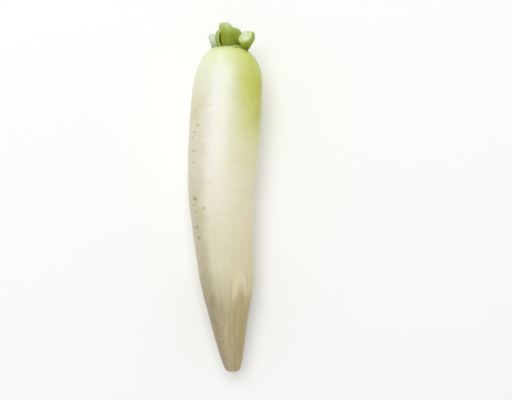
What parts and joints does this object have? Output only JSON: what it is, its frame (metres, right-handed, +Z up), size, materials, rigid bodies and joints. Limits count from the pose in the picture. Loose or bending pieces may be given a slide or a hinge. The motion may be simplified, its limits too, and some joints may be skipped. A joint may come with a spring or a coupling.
{
  "type": "daikon radish",
  "caption": "Long white daikon radish lying on its side, with a green shoulder, a blunt cut tip and a rosette of short cut leaf-stalk stubs.",
  "frame": {"origin": "centre of the bounding box in X and Y, on the surface that the radish lies on", "axes": "+Z up from that surface, +Y along the root towards its crown, +X to the right when seen from above with the crown away from the viewer"},
  "size_m": [0.0668, 0.3096, 0.0634],
  "materials": {
    "root_skin": "satin",
    "leaf_stalk_green": "satin",
    "leaf_stalk_pale": "satin",
    "leaf_stalk_heart": "satin",
    "leaf_scale_dry": "matte"
  },
  "bodies": {
    "root": {"taproot": "root_skin", "stalk_front": "leaf_stalk_green", "stalk_right": "leaf_stalk_green", "stalk_front_left": "leaf_stalk_green", "stalk_left": "leaf_stalk_pale", "stalk_back": "leaf_stalk_green", "stalk_back_left": "leaf_stalk_green", "stalk_back_right": "leaf_stalk_green", "stalk_inner_right": "leaf_stalk_green", "stalk_inner_left": "leaf_stalk_green", "heart_stalk": "leaf_stalk_heart", "heart_bud": "leaf_stalk_heart", "scale_front": "leaf_scale_dry"}
  },
  "joints": []
}
